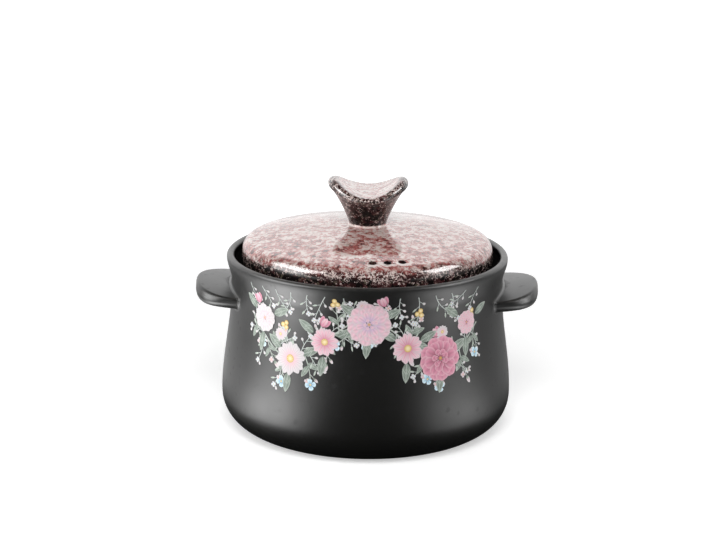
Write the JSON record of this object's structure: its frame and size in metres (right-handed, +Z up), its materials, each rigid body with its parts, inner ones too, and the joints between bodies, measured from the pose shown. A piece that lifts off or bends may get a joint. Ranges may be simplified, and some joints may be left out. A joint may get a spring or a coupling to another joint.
{
  "type": "clay stew pot with domed lid",
  "caption": "Round stoneware stew pot with two lug handles and a domed lid that seats on an inner ledge, has steam holes and lifts off by a saddle-shaped knob.",
  "frame": {"origin": "on the ground, under the middle of the pot", "axes": "+Z up, +X towards the right lug handle, and the decorated front with the steam holes faces -Y"},
  "size_m": [0.268, 0.2286, 0.1984],
  "materials": {
    "black_glaze": "satin black glaze on stoneware",
    "pink_glaze": "glossy mottled pink and maroon glaze on stoneware"
  },
  "bodies": {
    "pot": {"pot_body": "black_glaze", "lug_handle_left": "black_glaze", "lug_handle_right": "black_glaze"},
    "lid": {"lid_shell": "pink_glaze", "lid_knob": "pink_glaze"}
  },
  "joints": [
    {"name": "lid_lift", "type": "slide", "parent": "pot", "child": "lid", "axis": [0, 0, 1], "range_m": [0, 0.12]}
  ]
}
